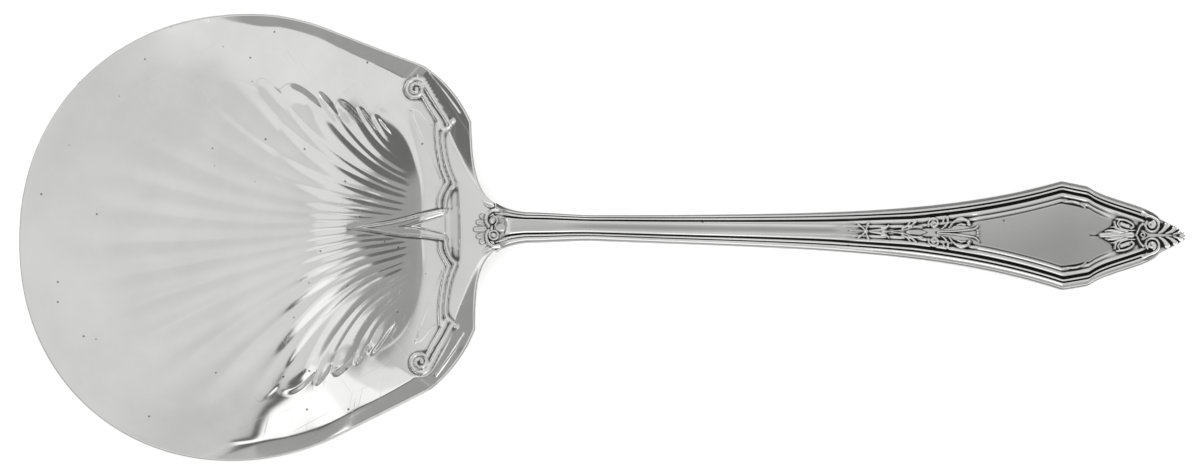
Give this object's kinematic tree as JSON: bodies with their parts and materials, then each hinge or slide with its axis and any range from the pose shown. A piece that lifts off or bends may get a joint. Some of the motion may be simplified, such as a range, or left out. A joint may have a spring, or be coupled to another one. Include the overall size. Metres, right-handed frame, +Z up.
{
  "type": "bonbon spoon",
  "caption": "Silver bonbon spoon with a round, shallow, fluted shell bowl and a slim moulded handle that widens to a panelled end with a leafy scrolled finial.",
  "frame": {"origin": "middle of the small flat under the bowl that the spoon rests on", "axes": "+X along the bowl's axis from its tip towards the handle, +Y across the bowl, +Z up out of the bowl"},
  "size_m": [0.1268, 0.0488, 0.0106],
  "materials": {
    "bowl_silver": "polished silver with fine wear",
    "handle_silver": "polished silver, darkened in the grooves",
    "silver_solder": "dull silver solder"
  },
  "bodies": {
    "root": {"bowl": "bowl_silver", "handle": "handle_silver", "solder_film": "silver_solder"}
  },
  "joints": []
}
